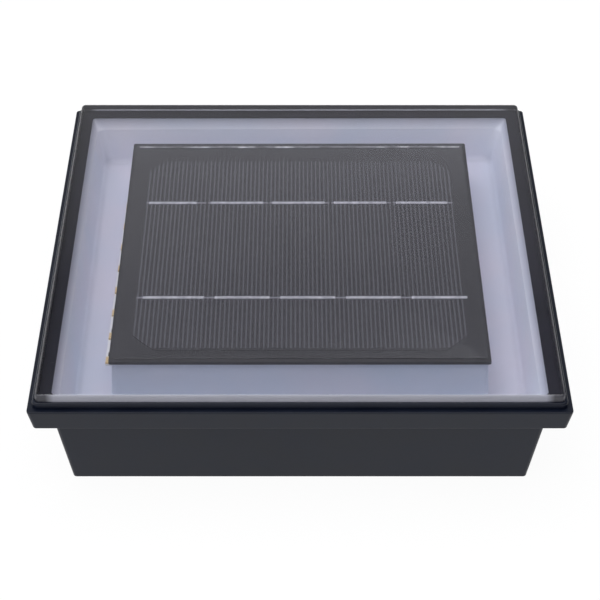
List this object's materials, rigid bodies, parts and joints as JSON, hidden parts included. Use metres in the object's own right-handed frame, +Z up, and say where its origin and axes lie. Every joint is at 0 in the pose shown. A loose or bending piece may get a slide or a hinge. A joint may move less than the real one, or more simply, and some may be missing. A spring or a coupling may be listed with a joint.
{
  "type": "solar recessed ground light",
  "caption": "Square solar light that sinks into paving up to its rim: clear walk-over lens, white reflector moat, central solar panel, lamps at its sides, battery and button below.",
  "frame": {"origin": "centre of the flat base, on the surface it rests on", "axes": "+Z up through the lens, front towards -Y, solar cell strips side by side along X"},
  "size_m": [0.2, 0.2, 0.0506],
  "materials": {
    "housing_plastic": "moulded, fine satin",
    "gasket_rubber": "matt",
    "lens_plastic": "clear polished polycarbonate",
    "white_plastic": "white reflector grade, satin",
    "circuit_board": "solder-masked glass epoxy",
    "silicon": "anti-reflection coated wafer",
    "tinned_copper": "bright tinned",
    "panel_film": "clear laminate",
    "foam_tape": "closed-cell foam",
    "white_board": "white solder mask",
    "led_package": "phosphor gel in white body",
    "chip_resistor": "glazed",
    "zinc_steel": "zinc plated",
    "battery_sleeve": "heat-shrunk film",
    "black_plastic": "moulded",
    "nickel_steel": "nickel plated",
    "ferrite": "sintered",
    "capacitor_can": "drawn can",
    "connector_plastic": "natural nylon",
    "button_rubber": "moulded over plastic",
    "wire_sleeve": "extruded insulation"
  },
  "bodies": {
    "light": {"housing_tub": "housing_plastic", "lens_gasket": "gasket_rubber", "cover_lens": "lens_plastic", "reflector_tray": "white_plastic", "panel_backboard": "circuit_board", "solar_cell_1": "silicon", "solar_cell_2": "silicon", "solar_cell_3": "silicon", "solar_cell_4": "silicon", "solar_cell_5": "silicon", "bus_ribbons_front": "tinned_copper", "bus_ribbons_back": "tinned_copper", "panel_film": "panel_film", "panel_tape": "foam_tape", "led_board_left": "white_board", "leds_left": "led_package", "led_resistors_left": "chip_resistor", "led_board_right": "white_board", "leds_right": "led_package", "led_resistors_right": "chip_resistor", "battery_door": "housing_plastic", "battery_door_seal": "gasket_rubber", "battery_door_screws": "zinc_steel", "battery_cell": "battery_sleeve", "battery_cradle": "black_plastic", "battery_contact_positive": "nickel_steel", "battery_contact_negative": "nickel_steel", "control_board": "circuit_board", "board_screws": "zinc_steel", "controller_chip": "black_plastic", "power_inductor": "ferrite", "capacitors": "capacitor_can", "wire_sockets": "connector_plastic", "wire_plugs": "connector_plastic", "switch_body": "black_plastic", "button_collar": "housing_plastic", "stem_seal": "gasket_rubber", "panel_leads": "wire_sleeve", "led_leads_left": "wire_sleeve", "led_leads_right": "wire_sleeve", "battery_leads": "wire_sleeve", "switch_leads": "wire_sleeve"},
    "button": {"power_button": "button_rubber"}
  },
  "joints": [
    {"name": "power_button_press", "type": "slide", "parent": "light", "child": "button", "axis": [0, 0, 1], "range_m": [0, 0.0015], "stiffness_N_per_m": 600, "springref_m": -0.0008}
  ]
}
